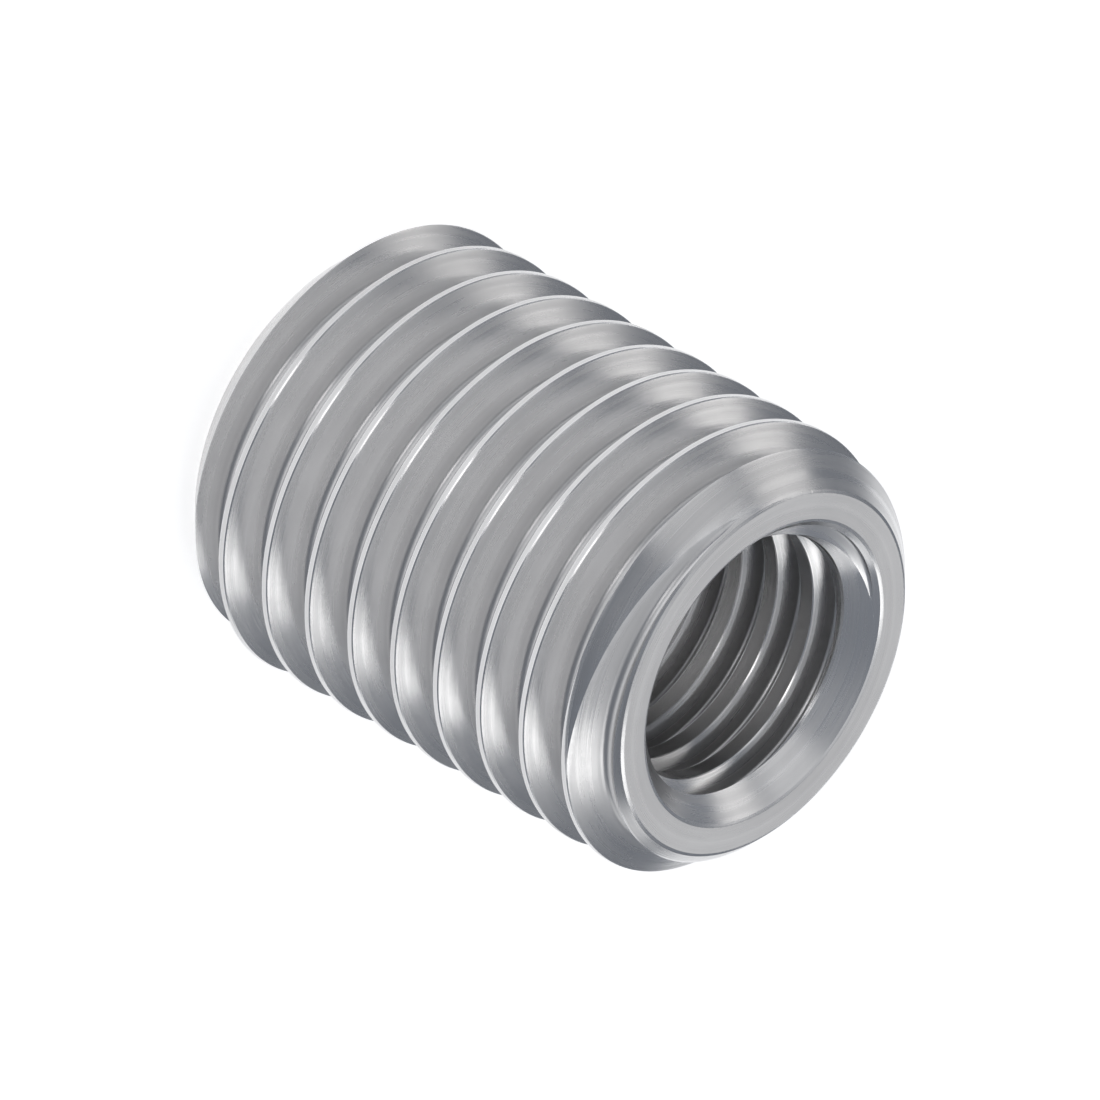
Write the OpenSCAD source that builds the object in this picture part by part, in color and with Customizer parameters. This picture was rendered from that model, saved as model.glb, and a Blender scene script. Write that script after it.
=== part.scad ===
// Thread insert: a turned steel sleeve with a thread on its outside, which screws into a tapped
// hole, and a smaller thread through its bore, which then takes a screw.
// It stands on its back end. The axis is Z, and the origin is the centre of the back face.

/* [Sleeve] */
// Length from the back face to the front face
sleeve_length = 15; // [8:0.5:40]
// Depth of the bevel round each end, at 45 degrees
bevel = 1; // [0.4:0.1:1.1]
// How much wider than the screw the countersink is at each mouth of the bore
countersink_over = 0.3; // [0.1:0.1:0.6]
// Hand of both threads
thread_hand = "left"; // [left, right]

/* [Outer thread] */
// Nominal diameter, that of the tapped hole that it goes into
outer_thread_d = 12; // [11.5:0.5:20]
// How much less the diameter over the crests is, so that the thread enters its hole
outer_allowance = 0.1; // [0.05:0.05:0.2]
// Rise in one turn
outer_pitch = 1.5; // [1:0.25:1.75]
// Angle from +X at which a crest passes the middle of the length
outer_start = 281; // [0:1:359]

/* [Inner thread] */
// Nominal diameter, that of its screw
inner_thread_d = 8; // [6:0.5:8.5]
// How far the drill before the tap is under the nominal diameter, in pitches
drill_under = 0.88; // [0.8:0.02:1.08]
// Rise in one turn
inner_pitch = 1.25; // [0.75:0.25:1.25]
// Angle from +X at which a crest passes the middle of the length
inner_start = 155; // [0:1:359]

/* [Hidden] */
$fn = 96;
hand = thread_hand == "left" ? -1 : 1;
steps_per_turn = 30;
// angle between a flank and a plane across the axis
flank_angle = 30;
// height of the sharp triangle that a thread is cut back from, in pitches
sharp_height = 1 / (2 * tan(flank_angle));
// half of a groove's widest opening, in pitches, which keeps one turn clear of the next
half_mouth = 0.48;
outer_crest_r = (outer_thread_d - outer_allowance) / 2;
outer_root_r = outer_crest_r - 17 / 24 * sharp_height * outer_pitch;
inner_root_r = inner_thread_d / 2;
inner_crest_r = inner_root_r - drill_under * inner_pitch / 2;
countersink_r = inner_root_r + countersink_over / 2;

// The section from the bore out to the crests, with a bevel at its outer corners and a
// countersink at its inner ones. It is turned about the axis.
module sleeve_section() {
    face_r = outer_crest_r - bevel;
    countersink_depth = countersink_r - inner_crest_r;
    polygon([
        [inner_crest_r, countersink_depth],
        [countersink_r, 0],
        [face_r, 0],
        [outer_crest_r, bevel],
        [outer_crest_r, sleeve_length - bevel],
        [face_r, sleeve_length],
        [countersink_r, sleeve_length],
        [inner_crest_r, sleeve_length - countersink_depth]
    ]);
}

// The outer groove's section, as [radius, height] points: flanks at 60 degrees to each other
// and a root rounded by a sixth of the sharp height.
function outer_groove() =
    let (
        round_r = sharp_height * outer_pitch / 6,
        round_end = 90 - flank_angle,
        flank_start_r = outer_root_r + round_r * (1 - cos(round_end)),
        mouth_half = half_mouth * outer_pitch,
        mouth_r = flank_start_r + (mouth_half - round_r * sin(round_end)) / tan(flank_angle),
        root = [
            for (a = [round_end:-2 * round_end / 3:-round_end])
                [outer_root_r + round_r * (1 - cos(a)), round_r * sin(a)]
        ]
    )
    concat([[mouth_r, -mouth_half], [mouth_r, mouth_half]], root);

// The inner groove's section: flanks at 60 degrees to each other and a flat root an eighth of
// the pitch wide.
function inner_groove() =
    let (
        root_half = inner_pitch / 16,
        mouth_half = half_mouth * inner_pitch,
        mouth_r = inner_root_r - (mouth_half - root_half) / tan(flank_angle)
    )
    [
        [mouth_r, -mouth_half],
        [inner_root_r, -root_half],
        [inner_root_r, root_half],
        [mouth_r, mouth_half]
    ];

// A bar of the given section along a helix, from a pitch below the sleeve to a pitch above it.
// At mid-length it lies opposite the start angle, where the crest between its turns then is.
module helical_bar(section, pitch, start) {
    sides = len(section);
    half_steps = ceil((sleeve_length / 2 / pitch + 1) * steps_per_turn);
    points = [
        for (i = [-half_steps:half_steps], p = section)
            let (turn = i / steps_per_turn, angle = start + 180 + hand * 360 * turn)
            [p[0] * cos(angle), p[0] * sin(angle), p[1] + sleeve_length / 2 + pitch * turn]
    ];
    walls = [
        for (i = [0:2 * half_steps - 1], j = [0:sides - 1])
            let (a = i * sides + j, b = i * sides + (j + 1) % sides)
            each hand > 0
                ? [[a, b, b + sides], [a, b + sides, a + sides]]
                : [[a, b + sides, b], [a, a + sides, b + sides]]
    ];
    first = [for (j = [0:sides - 1]) hand > 0 ? sides - 1 - j : j];
    last = [for (j = [0:sides - 1]) 2 * half_steps * sides + (hand > 0 ? j : sides - 1 - j)];
    polyhedron(points, concat([first], walls, [last]));
}

module thread_insert() {
    color("lightslategray")
        difference() {
            rotate_extrude() sleeve_section();
            helical_bar(outer_groove(), outer_pitch, outer_start);
            helical_bar(inner_groove(), inner_pitch, inner_start);
        }
}

thread_insert();
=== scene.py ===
import math

import bmesh
import bpy
import numpy as np
from mathutils import Matrix, Vector


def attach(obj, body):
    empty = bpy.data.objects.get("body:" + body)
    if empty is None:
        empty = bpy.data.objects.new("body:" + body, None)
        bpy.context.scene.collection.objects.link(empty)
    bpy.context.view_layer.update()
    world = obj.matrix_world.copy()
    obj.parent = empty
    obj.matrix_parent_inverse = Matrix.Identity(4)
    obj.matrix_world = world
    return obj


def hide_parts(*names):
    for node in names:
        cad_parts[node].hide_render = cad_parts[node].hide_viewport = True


# A turned steel thread insert that stands on its back end, seen as in the photograph.
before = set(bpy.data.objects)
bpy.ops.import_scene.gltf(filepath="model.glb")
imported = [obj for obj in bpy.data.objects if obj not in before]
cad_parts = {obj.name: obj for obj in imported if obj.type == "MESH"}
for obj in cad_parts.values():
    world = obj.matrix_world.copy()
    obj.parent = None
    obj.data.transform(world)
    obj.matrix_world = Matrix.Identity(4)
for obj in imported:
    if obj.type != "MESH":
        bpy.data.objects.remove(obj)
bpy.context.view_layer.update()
mm = 0.001
print("frame loaded")

# Sizes in millimetres. Left-hand threads: a crest turns back by a whole turn for each pitch up.
# crest, root and end are radii: over the crests, at the roots, and at the flat end faces. start is
# the angle in degrees at which a crest passes the middle of the length, roundness the root's own
# radius as a share of the sharp thread's height, and side is 1 for a wall that faces outwards and
# -1 for one that faces the axis.
insert = {
    "length": 15.0,
    "hand": -1,
    "outer": {"pitch": 1.5, "crest": 5.95, "root": 5.03, "end": 4.95, "start": 281,
              "roundness": 1 / 6, "side": 1},
    "inner": {"pitch": 1.25, "crest": 3.45, "root": 4.0, "end": 4.15, "start": 155,
              "roundness": 1 / 8, "side": -1},
    "crestBreak": 0.02,      # how deep the edge is broken along each crest
    "bevelBreak": 0.018,     # how deep a bevel's or countersink's edge with the crests is broken
    "faceBreak": 0.05,       # how far the break round each end face reaches along its two walls
    "steps": 270,            # columns of the mesh round the axis
    "merge": 0.0002,         # points nearer to each other than this become one
}
sharpHeight = math.sqrt(3) / 2   # of a 60 degree thread, in pitches
flankTilt = 60                   # how far a flank's normal leans from the radius, in degrees
flankSlope = math.tan(math.radians(90 - flankTilt))


def rootRadius(thread):
    # Its share of the sharp thread's height, which goes with the pitch.
    return thread["roundness"] * sharpHeight * thread["pitch"]


def grooveSection(crest, root, radius):
    # One groove as offsets along the axis and heights: the crest's broken edge, a flank at 30
    # degrees to a plane across the axis, a root arc tangent to both flanks, and the mirror image.
    # Half its mouth is its sharp depth times the flank's slope, and the arc is the root's radius
    # times the sine and cosine of its tilt. The tilts are the wall's lean at the two ends of each
    # step, in degrees from the radius.
    halfMouth = (crest - root + radius) * flankSlope
    cut = insert["crestBreak"]
    arcTilt = np.linspace(flankTilt, 0, 4)
    arc = np.radians(-arcTilt)
    offset = np.concatenate([[-halfMouth - cut * (1 / flankSlope - flankSlope),
                              -halfMouth + cut * flankSlope], radius * np.sin(arc)])
    height = np.concatenate([[crest, crest - cut], root + radius * (1 - np.cos(arc))])
    edgeAndFlank = [flankTilt / 2, flankTilt]
    tiltBefore = np.concatenate([edgeAndFlank, arcTilt[:-1]])
    tiltAfter = np.concatenate([edgeAndFlank, arcTilt[1:]])
    back = slice(-2, None, -1)
    return (np.concatenate([offset, -offset[back]]), np.concatenate([height, height[back]]),
            np.concatenate([tiltBefore, -tiltAfter[::-1]]),
            np.concatenate([tiltAfter, -tiltBefore[::-1]]))


def blankSection(crest, end):
    # The wall before threading, as corner points along the axis: end face, 45 degree bevel and
    # crest, each corner broken, and the mirror image. The tilts are those of the steps between.
    # The break between bevel and crest leans 22.5 degrees and passes at its depth below the old
    # corner, so it reaches along both walls by that depth over the tangent of 22.5 degrees.
    rise, face = crest - end, insert["faceBreak"]
    reach = insert["bevelBreak"] / math.tan(math.radians(22.5))
    along = np.array([0, face / math.sqrt(2), rise - reach / math.sqrt(2), rise + reach])
    height = np.array([end - face, end + along[1], end + along[2], crest])
    return (np.concatenate([along, insert["length"] - along[::-1]]),
            np.concatenate([height, height[::-1]]),
            np.array([-67.5, -45, -22.5, 0, 22.5, 45, 67.5]))


def threadedWall(thread):
    # The lower of the blank and the thread, on a grid of angle by place along the section, with
    # heights measured away from the axis outside and towards it inside. A groove lies at half the
    # length plus the pitch times (turns from start, plus a half, plus a whole number). Points of
    # its section that would stand above the blank slide along the section to where it meets the
    # blank, so the grooves run out on the bevels with true edges.
    length, steps, pitch = insert["length"], insert["steps"], thread["pitch"]
    spareGrooves = 3   # so that every column reaches past both ends
    nearEnd = 4        # grooves at each end that may meet its bevel
    halvings = 40      # of the search for the place where a groove meets the blank
    slack = 1e-9       # rounding allowed where a groove's whole mouth is open
    crest, root, end = (thread["side"] * thread[name] for name in ("crest", "root", "end"))
    offset, height, tiltBefore, tiltAfter = grooveSection(crest, root, rootRadius(thread))
    index = np.arange(len(offset))
    blankAlong, blankHeight, blankTilt = blankSection(crest, end)

    def blank(place):
        return np.interp(place, blankAlong, blankHeight)

    angle = np.linspace(0, 2 * np.pi, steps + 1)
    count = math.ceil(length / pitch) + spareGrooves
    turns = insert["hand"] * (angle - math.radians(thread["start"])) / (2 * np.pi)
    turns -= round(float(turns.mean()))
    centre = length / 2 + pitch * (turns[:, None] + 0.5 + np.arange(count) - count // 2)

    def room(spot):
        # How far the blank stands above the groove's section at a spot between its points.
        return blank(centre + np.interp(spot, index, offset)) - np.interp(spot, index, height)

    roomAt = np.stack([room(np.full(centre.shape, float(i))) for i in index])
    deepest = roomAt.argmax(axis=0).astype(float)
    ends = []
    for outside in (0.0, float(index[-1])):
        far, near = np.full(centre.shape, outside), deepest
        whole = room(far) >= -slack
        for _ in range(halvings):
            middle = (far + near) / 2
            inside = room(middle) >= 0
            near, far = np.where(inside, middle, near), np.where(inside, far, middle)
        ends.append(np.where(roomAt.max(axis=0) < 0, deepest, np.where(whole, outside, near)))
    spots = np.clip(index, ends[0][..., None], ends[1][..., None])
    grooveAlong = np.clip(centre[..., None] + np.interp(spots, index, offset), 0, length)
    grooveHeight = np.minimum(np.interp(spots, index, height), blank(grooveAlong))

    # Rows of the grid in order up the wall, and for each step between rows its tilts and whether
    # it belongs to a groove.
    bottom, top = np.zeros(steps + 1), np.full(steps + 1, length)
    rows, before, after, grooved = [bottom], [], [], []
    rowHeights = [blank(bottom)]

    def stepOnBlank(place):
        # One more row, on the blank, with the tilt of the blank's facet below it.
        facet = np.searchsorted(blankAlong, (rows[-1] + place) / 2) - 1
        tilt = blankTilt[np.clip(facet, 0, len(blankTilt) - 1)]
        rows.append(place)
        rowHeights.append(blank(place))
        before.append(tilt)
        after.append(tilt)
        grooved.append(0.0)

    lowCorners, highCorners = blankAlong[1:4], blankAlong[4:7]
    for k in range(count + 1):
        limit = grooveAlong[:, k, 0] if k < count else top
        corners = lowCorners if k < nearEnd else highCorners if k > count - nearEnd else []
        for corner in corners:
            stepOnBlank(np.clip(corner, rows[-1], np.maximum(rows[-1], limit)))
        stepOnBlank(limit)
        if k < count:
            for i in index[1:]:
                rows.append(grooveAlong[:, k, i])
                rowHeights.append(grooveHeight[:, k, i])
                before.append(np.full(steps + 1, tiltBefore[i - 1]))
                after.append(np.full(steps + 1, tiltAfter[i - 1]))
                grooved.append(1.0)
    return {"angle": angle, "z": np.array(rows).T, "radius": thread["side"] * np.array(rowHeights).T,
            "before": np.array(before, float).T, "after": np.array(after, float).T,
            "lead": insert["hand"] * pitch / (2 * np.pi) * np.array(grooved),
            "side": thread["side"], "flip": thread["side"] < 0}


def endRing(angle, inner, outer, z, isTop):
    # A flat ring from the countersink's edge to the bevel's.
    radius = np.ones((len(angle), 1)) * np.array([inner, outer])
    tilt = np.full((len(angle), 1), 90.0 if isTop else -90.0)
    return {"angle": angle, "z": np.full(radius.shape, z), "radius": radius, "before": tilt,
            "after": tilt, "lead": np.zeros(1), "side": 1, "flip": isTop}


def wallGeometry(wall, firstVertex):
    # Points, quads and corner normals of a grid. A point is the radius along its column's outward
    # direction plus its height. A normal leans from the radius by the tilt, and in a groove it
    # also turns by the lead over the radius, as a helix does.
    angle, z, radius = wall["angle"], wall["z"], wall["radius"]
    columns, rows = z.shape
    outward = np.stack([np.cos(angle), np.sin(angle), 0 * angle], axis=-1)[:, None, :]
    around = np.stack([-np.sin(angle), np.cos(angle), 0 * angle], axis=-1)[:, None, :]
    up = np.array([0.0, 0.0, 1.0])
    points = outward * radius[..., None] + up * z[..., None]

    def leaning(tilt, at):
        tilt = np.radians(tilt)[..., None]
        turn = np.sin(tilt) * (wall["lead"] / at)[..., None]
        normal = wall["side"] * np.cos(tilt) * outward - turn * around + np.sin(tilt) * up
        return normal / np.linalg.norm(normal, axis=-1, keepdims=True)

    low, high = leaning(wall["before"], radius[:, :-1]), leaning(wall["after"], radius[:, 1:])
    corner = np.arange(columns - 1)[:, None] * rows + np.arange(rows - 1)
    quads = np.stack([corner, corner + rows, corner + rows + 1, corner + 1], axis=-1)
    normals = np.stack([low[:-1], low[1:], high[1:], high[:-1]], axis=2)
    if wall["flip"]:
        quads, normals = quads[..., ::-1], normals[..., ::-1, :]
    return points.reshape(-1, 3) * mm, quads.reshape(-1, 4) + firstVertex, normals.reshape(-1, 3)


def makeInsert():
    # The two threaded walls and a ring at each end, joined to one closed mesh.
    outer, inner = threadedWall(insert["outer"]), threadedWall(insert["inner"])
    edges = outer["angle"], inner["radius"][0, 0], outer["radius"][0, 0]
    walls = [outer, inner, endRing(*edges, 0.0, False), endRing(*edges, insert["length"], True)]
    points, quads, normals, total = [], [], [], 0
    for wall in walls:
        wallPoints, wallQuads, wallNormals = wallGeometry(wall, total)
        points.append(wallPoints)
        quads.append(wallQuads)
        normals.append(wallNormals)
        total += len(wallPoints)
    mesh = bpy.data.meshes.new("thread_insert_visual")
    mesh.from_pydata(np.concatenate(points), [], np.concatenate(quads))
    kept = mesh.attributes.new("exactNormal", "FLOAT_VECTOR", "CORNER")
    kept.data.foreach_set("vector", np.concatenate(normals).astype(np.float32).ravel())

    # Rows that slid together, and the first and last column, become one.
    joined = bmesh.new()
    joined.from_mesh(mesh)
    bmesh.ops.remove_doubles(joined, verts=joined.verts, dist=insert["merge"] * mm)
    print("insert has", len(joined.faces), "faces,",
          sum(len(edge.link_faces) != 2 for edge in joined.edges), "open edges and",
          round(joined.calc_volume(signed=True) / mm ** 3, 1), "cubic mm")
    joined.to_mesh(mesh)
    joined.free()
    mesh.shade_smooth()
    exact = np.empty(len(mesh.loops) * 3, np.float32)
    mesh.attributes["exactNormal"].data.foreach_get("vector", exact)
    mesh.normals_split_custom_set(exact.reshape(-1, 3).tolist())
    mesh.attributes.remove(mesh.attributes["exactNormal"])
    piece = bpy.data.objects.new("thread_insert_visual", mesh)
    bpy.context.scene.collection.objects.link(piece)
    return piece


piece = makeInsert()
print("insert shaped")

# The look of the steel, with lengths in millimetres. A Dark value is the share of the way that an
# effect takes the colour towards dark, and a Rough value is what it adds to the roughness, or adds
# where it is weakest and where it is strongest.
steel = {
    "body": (0.65, 0.647, 0.65),
    "dark": (0.44, 0.437, 0.435),    # painted shade in the roots, and the darker tone of deeper marks and handled patches
    "bright": (0.78, 0.78, 0.785),   # rubbed edges
    "boreLight": (0.8, 0.797, 0.8),      # painted light: the bore and its countersinks, lighter to offset the bore's shade
    "roughness": 0.26,
    "marksPerMm": 7.0,
    "markHeight": 0.004,
    "wander": 0.6,                   # how far a mark strays, in marks
    "wanderPerMm": 0.35,
    "wanderSpread": 3.0,             # how strongly the streaks break up along a mark
    "streaksPerMark": 0.45,
    "streakDark": 0.25,
    "streakRough": (-0.05, 0.06),
    "edgeWidth": 0.06,
    "edgeAmount": 0.8,
    "edgeBreaksPerMm": 1.4,
    "edgeRough": 0.08,               # taken off, since a rubbed edge is smoother
    "patchesPerMm": 0.22,
    "patchDark": 0.15,
    "patchRough": (-0.03, 0.04),
    "rootDepth": 0.5,                # share of a groove's depth where the roots' painted shade and extra roughness begin
    "rootPaintedShade": 0.15,
    "rootRough": 0.08,
    "faceSkin": 0.02,                # what is this near to an end face isn't marked as a groove
}
noiseRoughness = 0.6


def addNode(tree, kind, **settings):
    node = tree.nodes.new(kind)
    for name, value in settings.items():
        setattr(node, name, value)
    return node


def join(tree, source, socket):
    # Links a socket to a source, or sets it to a number or a colour.
    if isinstance(source, (int, float)):
        socket.default_value = source
    elif isinstance(source, tuple):
        socket.default_value = (*source, 1)
    else:
        tree.links.new(source, socket)


def calc(tree, operation, *values):
    node = addNode(tree, "ShaderNodeMath", operation=operation)
    for value, socket in zip(values, node.inputs):
        join(tree, value, socket)
    return node.outputs[0]


def remap(tree, value, fromLow, fromHigh, low=0.0, high=1.0):
    node = addNode(tree, "ShaderNodeMapRange")
    for source, socket in zip((value, fromLow, fromHigh, low, high), node.inputs):
        join(tree, source, socket)
    return node.outputs[0]


def mixed(tree, share, first, second, kind="FLOAT"):
    node = addNode(tree, "ShaderNodeMix", data_type=kind)
    sockets = [socket for socket in node.inputs if socket.enabled]
    for source, socket in zip((share, first, second), sockets):
        join(tree, source, socket)
    return next(socket for socket in node.outputs if socket.enabled)


def noise(tree, vector, scale, detail, dimensions="3D"):
    node = addNode(tree, "ShaderNodeTexNoise", noise_dimensions=dimensions)
    join(tree, vector, node.inputs["Vector"])
    join(tree, scale, node.inputs["Scale"])
    node.inputs["Detail"].default_value = detail
    node.inputs["Roughness"].default_value = noiseRoughness
    return node.outputs["Fac"]


def startGroup(name, inputs, outputs):
    # A new node group, with its inputs by name and its output sockets by name.
    tree = bpy.data.node_groups.new(name, "ShaderNodeTree")
    for label in inputs:
        kind = "NodeSocketVector" if label == "Vector" else "NodeSocketFloat"
        tree.interface.new_socket(name=label, in_out="INPUT", socket_type=kind)
    for label in outputs:
        tree.interface.new_socket(name=label, in_out="OUTPUT", socket_type="NodeSocketFloat")
    return tree, addNode(tree, "NodeGroupInput").outputs, addNode(tree, "NodeGroupOutput").inputs


def useGroup(tree, group, **values):
    node = addNode(tree, "ShaderNodeGroup", node_tree=group)
    for name, value in values.items():
        join(tree, value, node.inputs[name])
    return node.outputs


def turnedPlaceGroup():
    # Where a point is on a turned piece: radius and height in mm, and angle in turns.
    tree, given, put = startGroup("turnedPlace", ["Vector"], ["Radius", "Along", "Turn"])
    parts = addNode(tree, "ShaderNodeSeparateXYZ")
    join(tree, given["Vector"], parts.inputs[0])
    x, y, z = (calc(tree, "MULTIPLY", part, 1 / mm) for part in parts.outputs)
    squares = calc(tree, "ADD", calc(tree, "MULTIPLY", x, x), calc(tree, "MULTIPLY", y, y))
    join(tree, calc(tree, "SQRT", squares), put["Radius"])
    join(tree, z, put["Along"])
    join(tree, calc(tree, "DIVIDE", calc(tree, "ARCTAN2", y, x), 2 * math.pi), put["Turn"])
    return tree


def threadPlaceGroup():
    # Where a point is on a threaded wall, whose heights grow away from the metal's core: how far
    # across a groove, how far from the nearest edge, how deep, and whether it is in a groove. An
    # edge is where the blank and a groove meet, so the distance to it is the larger of the
    # distances to the two; the blank's own corners count as well.
    tree, given, put = startGroup(
        "threadPlace",
        ["Height", "Along", "Turn", "Pitch", "Start", "Crest", "Root", "End", "Roundness"],
        ["Across", "Edge", "Depth", "Groove"])
    length, hand = insert["length"], insert["hand"]
    height, pitch, crest = given["Height"], given["Pitch"], given["Crest"]
    turned = calc(tree, "MULTIPLY", calc(tree, "SUBTRACT", given["Turn"], given["Start"]), hand)
    climbed = calc(tree, "DIVIDE", calc(tree, "SUBTRACT", given["Along"], length / 2), pitch)
    phase = calc(tree, "FRACT", calc(tree, "SUBTRACT", climbed, turned))
    across = calc(tree, "MULTIPLY", calc(tree, "SUBTRACT", phase, 0.5), pitch)
    sharp = calc(tree, "SUBTRACT", given["Root"], given["Roundness"])
    half = calc(tree, "MULTIPLY", calc(tree, "SUBTRACT", height, sharp), flankSlope)
    aside = calc(tree, "SUBTRACT", half, calc(tree, "ABSOLUTE", across))
    fromGroove = calc(tree, "ABSOLUTE", calc(tree, "MULTIPLY", aside, sharpHeight))
    fromEnd = calc(tree, "MINIMUM", given["Along"], calc(tree, "SUBTRACT", length, given["Along"]))
    rise = calc(tree, "SUBTRACT", crest, given["End"])
    blank = calc(tree, "MINIMUM", crest, calc(tree, "ADD", given["End"], fromEnd))
    fromBlank = calc(tree, "ABSOLUTE", calc(tree, "SUBTRACT", height, blank))

    def fromCorner(cornerHeight, cornerAlong):
        up = calc(tree, "SUBTRACT", height, cornerHeight)
        along = calc(tree, "SUBTRACT", fromEnd, cornerAlong)
        return calc(tree, "SQRT", calc(tree, "ADD", calc(tree, "MULTIPLY", up, up),
                                       calc(tree, "MULTIPLY", along, along)))

    edge = calc(tree, "MAXIMUM", fromGroove, fromBlank)
    edge = calc(tree, "MINIMUM", edge, fromCorner(given["End"], 0.0))
    edge = calc(tree, "MINIMUM", edge, fromCorner(crest, rise))
    inGroove = calc(tree, "MULTIPLY", calc(tree, "LESS_THAN", fromGroove, fromBlank),
                    calc(tree, "GREATER_THAN", fromEnd, steel["faceSkin"]))
    depth = calc(tree, "DIVIDE", calc(tree, "SUBTRACT", crest, height),
                 calc(tree, "SUBTRACT", crest, given["Root"]))
    join(tree, across, put["Across"])
    join(tree, edge, put["Edge"])
    join(tree, calc(tree, "MULTIPLY", depth, inGroove), put["Depth"])
    join(tree, inGroove, put["Groove"])
    return tree


def cutMarksGroup():
    # Fine lines left by the tool: noise over the two directions across its path.
    tree, given, put = startGroup("cutMarks", ["First", "Second", "Vector", "Marks"],
                                  ["Height", "Streaks"])
    strays = noise(tree, given["Vector"], steel["wanderPerMm"] / mm, detail=2.0)
    wander = calc(tree, "MULTIPLY", strays, steel["wander"])
    across = addNode(tree, "ShaderNodeCombineXYZ")
    for label, socket in (("First", across.inputs[0]), ("Second", across.inputs[1])):
        scaled = calc(tree, "MULTIPLY", given[label], given["Marks"])
        join(tree, calc(tree, "ADD", scaled, wander), socket)
    join(tree, calc(tree, "MULTIPLY", wander, steel["wanderSpread"]), across.inputs[2])
    lines = noise(tree, across.outputs[0], 1.0, detail=3.0, dimensions="2D")
    streaks = noise(tree, across.outputs[0], steel["streaksPerMark"], detail=4.0)
    join(tree, lines, put["Height"])
    join(tree, remap(tree, streaks, fromLow=0.35, fromHigh=0.7), put["Streaks"])
    return tree


def edgeWearGroup():
    # How rubbed a point is: full at an edge, none at the given width from it, broken by noise.
    tree, given, put = startGroup("edgeWear", ["Edge", "Width", "Amount", "Vector"], ["Mask"])
    near = remap(tree, calc(tree, "DIVIDE", given["Edge"], given["Width"]), 0.0, 1.0, 1.0, 0.0)
    breaks = noise(tree, given["Vector"], steel["edgeBreaksPerMm"] / mm, detail=4.0)
    broken = remap(tree, breaks, fromLow=0.35, fromHigh=0.6, low=0.35)
    mask = calc(tree, "MULTIPLY", calc(tree, "MULTIPLY", near, broken), given["Amount"])
    join(tree, mask, put["Mask"])
    return tree


def patchesGroup():
    # Soft uneven patches from handling.
    tree, given, put = startGroup("handledPatches", ["Vector", "Scale"], ["Mask"])
    patches = noise(tree, given["Vector"], given["Scale"], detail=5.0)
    join(tree, remap(tree, patches, fromLow=0.35, fromHigh=0.65), put["Mask"])
    return tree


def turnedSteel():
    # Metal whose colour and roughness follow the tool's marks, the handled patches, the roots and
    # the rubbed edges, with the marks as bump. The roots' darker colour is painted shade, and the
    # bore's lighter colour is painted light.
    material = bpy.data.materials.new("turned_steel_painted_shade_and_light")
    material.use_nodes = True
    tree = material.node_tree
    shader = tree.nodes["Principled BSDF"]
    shader.inputs["Metallic"].default_value = 1.0
    vector = addNode(tree, "ShaderNodeTexCoord").outputs["Object"]
    where = useGroup(tree, turnedPlaceGroup(), Vector=vector)
    threadPlace = threadPlaceGroup()
    walls = []
    for thread in (insert["inner"], insert["outer"]):
        side = thread["side"]
        walls.append(useGroup(
            tree, threadPlace, Height=calc(tree, "MULTIPLY", where["Radius"], side),
            Along=where["Along"], Turn=where["Turn"], Pitch=thread["pitch"],
            Start=thread["start"] / 360, Crest=side * thread["crest"], Root=side * thread["root"],
            End=side * thread["end"], Roundness=rootRadius(thread)))
    mouth = insert["inner"]["end"]
    isOuter = calc(tree, "GREATER_THAN", where["Radius"], (mouth + insert["outer"]["end"]) / 2)
    across, edge, depth, groove = (
        mixed(tree, isOuter, walls[0][name], walls[1][name])
        for name in ("Across", "Edge", "Depth", "Groove"))

    marks = useGroup(tree, cutMarksGroup(), First=mixed(tree, groove, where["Along"], across),
                     Second=where["Radius"], Vector=vector, Marks=steel["marksPerMm"])
    patches = useGroup(tree, patchesGroup(), Vector=vector, Scale=steel["patchesPerMm"] / mm)
    wear = useGroup(tree, edgeWearGroup(), Edge=edge, Width=steel["edgeWidth"],
                    Amount=steel["edgeAmount"], Vector=vector)
    deep = remap(tree, depth, steel["rootDepth"], 1.0)
    dark = calc(tree, "ADD", calc(tree, "MULTIPLY", marks["Streaks"], steel["streakDark"]),
                calc(tree, "MULTIPLY", patches["Mask"], steel["patchDark"]))
    # Painted shade: the colour darkens towards the roots, deeper in each groove.
    dark = calc(tree, "ADD", dark, calc(tree, "MULTIPLY", deep, steel["rootPaintedShade"]))
    # Painted light: the bore and its countersinks get a lighter colour that offsets their shade.
    boreLightShare = remap(tree, where["Radius"], mouth + insert["faceBreak"], mouth)
    body = mixed(tree, boreLightShare, steel["body"], steel["boreLight"], "RGBA")
    body = mixed(tree, dark, body, steel["dark"], "RGBA")
    join(tree, mixed(tree, wear["Mask"], body, steel["bright"], "RGBA"),
         shader.inputs["Base Color"])
    rough = calc(tree, "ADD", remap(tree, marks["Streaks"], 0.0, 1.0, *steel["streakRough"]),
                 remap(tree, patches["Mask"], 0.0, 1.0, *steel["patchRough"]))
    rough = calc(tree, "ADD", rough, calc(tree, "MULTIPLY", deep, steel["rootRough"]))
    rough = calc(tree, "SUBTRACT", rough, calc(tree, "MULTIPLY", wear["Mask"], steel["edgeRough"]))
    join(tree, calc(tree, "ADD", rough, steel["roughness"]), shader.inputs["Roughness"])
    bump = addNode(tree, "ShaderNodeBump")
    bump.inputs["Distance"].default_value = steel["markHeight"] * mm
    join(tree, marks["Height"], bump.inputs["Height"])
    join(tree, bump.outputs["Normal"], shader.inputs["Normal"])
    return material


piece.data.materials.append(turnedSteel())
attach(piece, "root")
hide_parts("thread_insert")
print("steel finished")

# A pale floor, wide enough to fill the view. Its glow lifts it to white in the picture and in what
# the steel mirrors. size is in metres.
floorLook = {"colour": (0.86, 0.86, 0.86), "size": 0.6, "roughness": 0.9, "glow": 0.62}


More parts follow.
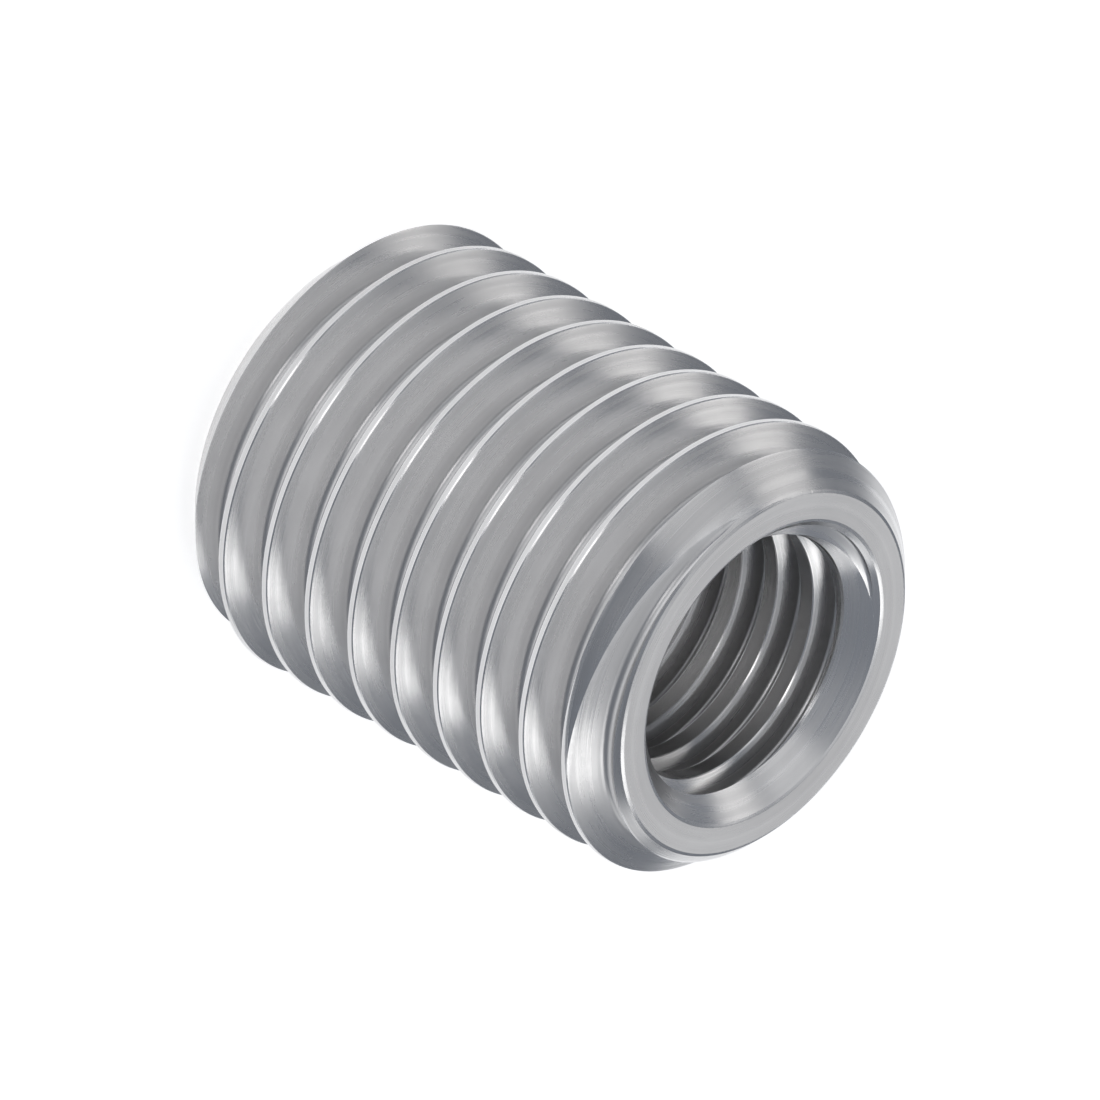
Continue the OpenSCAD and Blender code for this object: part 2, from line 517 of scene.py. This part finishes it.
def makeFloor():
    mesh = bpy.data.meshes.new("floor")
    half = floorLook["size"] / 2
    mesh.from_pydata([(-half, -half, 0), (half, -half, 0), (half, half, 0), (-half, half, 0)],
                     [], [(0, 1, 2, 3)])
    floor = bpy.data.objects.new("floor", mesh)
    bpy.context.scene.collection.objects.link(floor)
    material = bpy.data.materials.new("pale_floor")
    material.use_nodes = True
    shader = material.node_tree.nodes["Principled BSDF"]
    shader.inputs["Base Color"].default_value = (*floorLook["colour"], 1)
    shader.inputs["Roughness"].default_value = floorLook["roughness"]
    shader.inputs["Emission Color"].default_value = (1, 1, 1, 1)
    shader.inputs["Emission Strength"].default_value = floorLook["glow"]
    mesh.materials.append(material)


makeFloor()
print("floor laid")

# The camera looks along the photograph's direction with no perspective: the axis runs from the
# upper left to the lower right. scale is the width of the view, near and far are what the camera
# sees between, and all lengths are in metres.
cameraLook = {"from": (-1, 1, 1), "right": (1, 0, 1), "scale": 0.02727, "distance": 0.25,
              "near": 0.001, "far": 2.0}
middle = Vector((0, 0, insert["length"] / 2 * mm))


def makeCamera():
    back = Vector(cameraLook["from"]).normalized()
    right = Vector(cameraLook["right"]).normalized()
    up = back.cross(right)
    turn = Matrix((right, up, back)).transposed().to_4x4()
    data = bpy.data.cameras.new("camera")
    data.type = "ORTHO"
    data.ortho_scale = cameraLook["scale"]
    data.clip_start = cameraLook["near"]
    data.clip_end = cameraLook["far"]
    camera = bpy.data.objects.new("camera", data)
    camera.matrix_world = Matrix.Translation(middle + back * cameraLook["distance"]) @ turn
    bpy.context.scene.collection.objects.link(camera)
    bpy.context.scene.camera = camera


makeCamera()
print("camera set")

# Soft round lights, placed by compass angle from +X and height above the floor in degrees. wide is
# the angle that a light fills as the insert sees it, and bright its radiance.
lights = {
    "top": {"angle": 0, "height": 90, "wide": 60, "bright": 0.4, "colour": (1, 0.98, 0.95)},
    "left": {"angle": 262, "height": 50, "wide": 26, "bright": 1.6, "colour": (1, 0.99, 0.97)},
    "low": {"angle": 262, "height": 16, "wide": 24, "bright": 0.8, "colour": (1, 0.99, 0.97)},
    "right": {"angle": 8, "height": 42, "wide": 22, "bright": 1.0, "colour": (1, 0.97, 0.93)},
    "back": {"angle": 80, "height": 38, "wide": 44, "bright": 0.55, "colour": (1, 0.98, 0.95)},
    "side": {"angle": 33, "height": 25, "wide": 30, "bright": 0.8, "colour": (1, 0.97, 0.93)},
    "front": {"angle": 315, "height": 35, "wide": 36, "bright": 0.58, "colour": (1, 0.98, 0.95)},
    "key": {"angle": 130, "height": 25, "wide": 24, "bright": 2.0, "colour": (1, 0.98, 0.96)},
}
lightDistance = 0.4   # metres


def makeLights():
    # A flat lamp of one radiance gives pi times that radiance from each square metre.
    for name, look in lights.items():
        angle, height = math.radians(look["angle"]), math.radians(look["height"])
        towards = Vector((math.cos(angle) * math.cos(height), math.sin(angle) * math.cos(height),
                          math.sin(height)))
        size = 2 * lightDistance * math.tan(math.radians(look["wide"] / 2))
        area = math.pi * size ** 2 / 4
        data = bpy.data.lights.new(name, "AREA")
        data.shape = "DISK"
        data.size = size
        data.color = look["colour"]
        data.energy = look["bright"] * math.pi * area
        lamp = bpy.data.objects.new(name, data)
        lamp.location = middle + towards * lightDistance
        lamp.rotation_euler = towards.to_track_quat("Z", "Y").to_euler()
        bpy.context.scene.collection.objects.link(lamp)


makeLights()
print("lights set")

worldLook = {"colour": (0.88, 0.95, 1.08), "strength": 0.24, "backdrop": (1, 1, 1)}


def makeWorld():
    # A dim bluish room. Past the floor's edge the view shows a plain white backdrop instead, which
    # lights nothing.
    world = bpy.data.worlds.new("studio")
    world.use_nodes = True
    tree = world.node_tree
    ambient = tree.nodes["Background"]
    join(tree, worldLook["colour"], ambient.inputs["Color"])
    ambient.inputs["Strength"].default_value = worldLook["strength"]
    backdrop = addNode(tree, "ShaderNodeBackground")
    join(tree, worldLook["backdrop"], backdrop.inputs["Color"])
    chosen = addNode(tree, "ShaderNodeMixShader")
    join(tree, addNode(tree, "ShaderNodeLightPath").outputs["Is Camera Ray"], chosen.inputs[0])
    join(tree, ambient.outputs[0], chosen.inputs[1])
    join(tree, backdrop.outputs[0], chosen.inputs[2])
    join(tree, chosen.outputs[0], tree.nodes["World Output"].inputs["Surface"])
    bpy.context.scene.world = world
    bpy.context.scene.view_settings.view_transform = "Standard"


makeWorld()
print("backdrop set")
